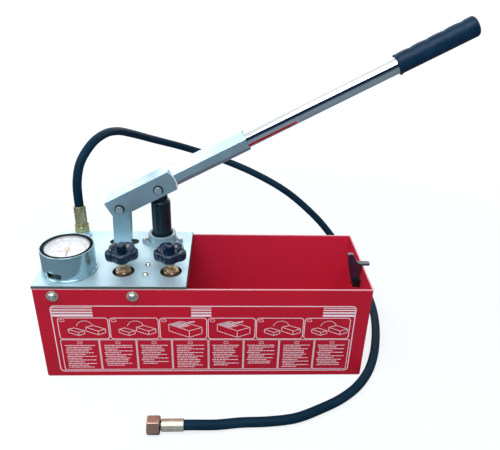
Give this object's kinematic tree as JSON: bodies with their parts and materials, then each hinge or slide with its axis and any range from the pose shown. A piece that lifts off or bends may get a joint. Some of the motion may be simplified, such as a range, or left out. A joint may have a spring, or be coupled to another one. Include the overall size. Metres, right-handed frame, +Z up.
{
  "type": "hydrostatic test pump",
  "caption": "Hand-lever hydrostatic test pump on an open steel water tank, with a pressure gauge, star-knob valves and a pressure hose with a swivel nut.",
  "frame": {"origin": "middle of the tank's underside, on the floor", "axes": "+Z up; +X along the tank, from the gauge to the lever catch; -Y is the printed side"},
  "size_m": [0.6343, 0.5535, 0.5362],
  "materials": {
    "red_enamel": "glossy red powder coat",
    "zinc_plate": "bright zinc plate",
    "grey_paint": "satin grey paint on steel",
    "steel": "ground steel",
    "chrome": "bright chrome plate",
    "brass": "machined brass",
    "yellow_zinc": "yellow passivated zinc",
    "copper": "drawn copper tube",
    "nut_steel": "brown passivated steel",
    "knob_plastic": "moulded black plastic",
    "black_steel": "black oxide",
    "black_rubber": "moulded rubber",
    "hose_rubber": "ribbed hydraulic hose cover",
    "dial_white": "white enamel",
    "gauge_glass": "clear glass"
  },
  "bodies": {
    "pump_body": {"tank": "red_enamel", "deck_plate": "zinc_plate", "deck_bolt_front_left": "steel", "deck_bolt_front_right": "steel", "deck_bolt_back_left": "steel", "deck_bolt_back_right": "steel", "valve_block": "brass", "body_screw_back": "steel", "body_screw_front": "steel", "left_packing_nut": "brass", "right_packing_nut": "brass", "gauge_cup": "grey_paint", "gauge_case": "steel", "gauge_seal": "black_rubber", "gauge_stem": "brass", "gauge_nut": "brass", "bourdon_tube": "copper", "gauge_dial": "dial_white", "gauge_glass": "gauge_glass", "guide_collar": "grey_paint", "guide_screw_left": "steel", "guide_screw_right": "steel", "wiper_ring": "black_rubber", "cylinder": "grey_paint", "foot_valve": "brass", "strainer": "zinc_plate", "fulcrum_bracket": "grey_paint", "transfer_pipe": "copper", "gauge_pipe": "copper", "outlet_pipe": "copper", "outlet_fitting": "zinc_plate", "hose_nut": "yellow_zinc", "near_ferrule": "yellow_zinc", "hose": "hose_rubber", "far_ferrule": "yellow_zinc", "far_tail": "steel", "catch_bracket": "black_steel", "catch_pin": "steel"},
    "piston_set": {"piston": "black_steel", "piston_seal": "black_rubber", "seal_retainer": "brass"},
    "lever_set": {"lever_fork": "grey_paint", "lever_tube": "chrome", "lever_grip": "black_rubber", "front_pin": "steel", "back_pin": "steel", "front_pin_clip": "black_steel", "back_pin_clip": "black_steel"},
    "link_set": {"link": "grey_paint", "fulcrum_pin": "steel"},
    "left_spindle_set": {"left_spindle": "brass"},
    "left_knob_set": {"left_knob": "knob_plastic", "left_knob_cap": "knob_plastic"},
    "right_spindle_set": {"right_spindle": "brass"},
    "right_knob_set": {"right_knob": "knob_plastic", "right_knob_cap": "knob_plastic"},
    "pointer_set": {"gauge_pointer": "black_steel"},
    "ball_set": {"inlet_ball": "steel"},
    "catch_set": {"lever_catch": "knob_plastic"},
    "far_nut_set": {"far_nut": "nut_steel"}
  },
  "joints": [
    {"name": "piston_slide", "type": "slide", "parent": "pump_body", "child": "piston_set", "axis": [0, 0, 1], "range_m": [-0.0405, 0.0181]},
    {"name": "lever_swing", "type": "hinge", "parent": "piston_set", "child": "lever_set", "pos_m": [-0.0755, 0.047, 0.2745], "axis": [0, -1, 0], "range_deg": [-36, 16]},
    {"name": "link_swing", "type": "hinge", "parent": "lever_set", "child": "link_set", "pos_m": [-0.13752, 0.047, 0.24097], "axis": [0, -1, 0], "range_deg": [-19.4, 43.4]},
    {"name": "left_spindle_lift", "type": "slide", "parent": "pump_body", "child": "left_spindle_set", "axis": [0, 0, 1], "range_m": [0, 0.003]},
    {"name": "left_knob_turn", "type": "hinge", "parent": "left_spindle_set", "child": "left_knob_set", "pos_m": [-0.1245, -0.044, 0.2], "axis": [0, 0, 1], "range_deg": [0, 720]},
    {"name": "right_spindle_lift", "type": "slide", "parent": "pump_body", "child": "right_spindle_set", "axis": [0, 0, 1], "range_m": [0, 0.003]},
    {"name": "right_knob_turn", "type": "hinge", "parent": "right_spindle_set", "child": "right_knob_set", "pos_m": [-0.053, -0.044, 0.2], "axis": [0, 0, 1], "range_deg": [0, 720]},
    {"name": "pointer_turn", "type": "hinge", "parent": "pump_body", "child": "pointer_set", "pos_m": [-0.206, -0.037, 0.203], "axis": [0, 0, -1], "range_deg": [0, 270], "stiffness_Nm_per_rad": 0.001},
    {"name": "ball_lift", "type": "slide", "parent": "pump_body", "child": "ball_set", "axis": [0, 0, 1], "range_m": [0, 0.004]},
    {"name": "catch_swing", "type": "hinge", "parent": "pump_body", "child": "catch_set", "pos_m": [0.2406, -0.013, 0.134], "axis": [0, -1, 0], "range_deg": [0, 40]},
    {"name": "far_nut_spin", "type": "hinge", "parent": "pump_body", "child": "far_nut_set", "pos_m": [-0.0692, -0.194, 0.012], "axis": [1, 0, 0], "continuous": true}
  ],
  "couplings": [
    {"joint": "piston_slide", "follows": "lever_swing", "m_per_rad": 0.064},
    {"joint": "link_swing", "follows": "lever_swing", "ratio": -1.2},
    {"joint": "left_spindle_lift", "follows": "left_knob_turn", "m_per_rad": 0.00023873},
    {"joint": "right_spindle_lift", "follows": "right_knob_turn", "m_per_rad": 0.00023873}
  ]
}
